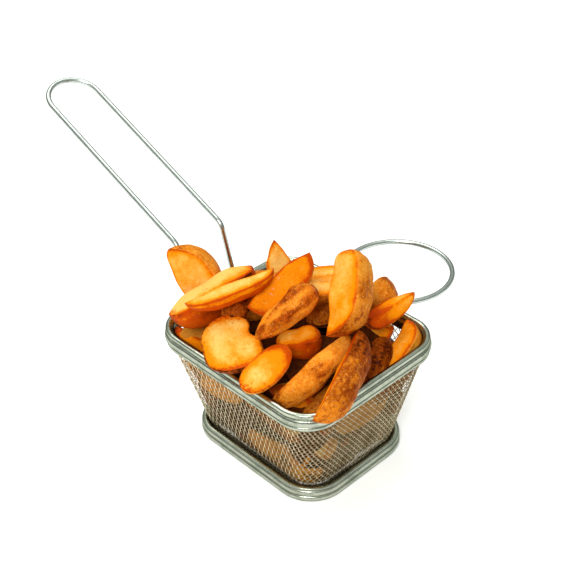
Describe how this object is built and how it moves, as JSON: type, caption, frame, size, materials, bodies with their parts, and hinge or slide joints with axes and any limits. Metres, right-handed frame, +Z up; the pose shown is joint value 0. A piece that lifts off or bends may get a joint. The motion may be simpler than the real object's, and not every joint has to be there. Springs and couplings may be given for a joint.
{
  "type": "potato wedges in a serving basket",
  "caption": "Roasted potato wedges heaped in a small tapered basket of woven steel wire with a beaded rim, a long wire handle and a round helper loop.",
  "frame": {"origin": "centre of the whole's bounding box, on the floor under the foot ring", "axes": "+Z up, -X towards the end of the long handle, +Y towards the helper loop, -Y the side the wedges lean out over"},
  "size_m": [0.2636, 0.1724, 0.1597],
  "materials": {
    "steel": "polished stainless steel",
    "woven_steel": "woven stainless wire, slightly oily",
    "potato": "roasted potato, golden cut faces and browned skin",
    "browned_potato": "browned potato in shade"
  },
  "bodies": {
    "root": {"foot_ring": "steel", "mesh_basket": "woven_steel", "rim_band": "steel", "handle": "steel", "helper_loop": "steel", "wedge_01": "potato", "wedge_02": "potato", "wedge_03": "potato", "wedge_04": "potato", "wedge_05": "potato", "wedge_06": "potato", "wedge_07": "potato", "wedge_08": "potato", "wedge_09": "potato", "wedge_10": "potato", "wedge_11": "potato", "wedge_12": "potato", "wedge_13": "potato", "wedge_14": "potato", "wedge_15": "potato", "wedge_16": "potato", "wedge_17": "potato", "wedge_18": "potato", "wedge_19": "potato", "wedge_20": "potato", "wedge_21": "potato", "wedge_22": "potato", "wedge_23": "potato", "wedge_24": "potato", "wedge_25": "potato", "wedge_26": "potato", "wedge_27": "potato", "wedge_28": "potato", "wedge_29": "potato", "wedge_30": "potato", "wedges_below": "browned_potato"}
  },
  "joints": []
}
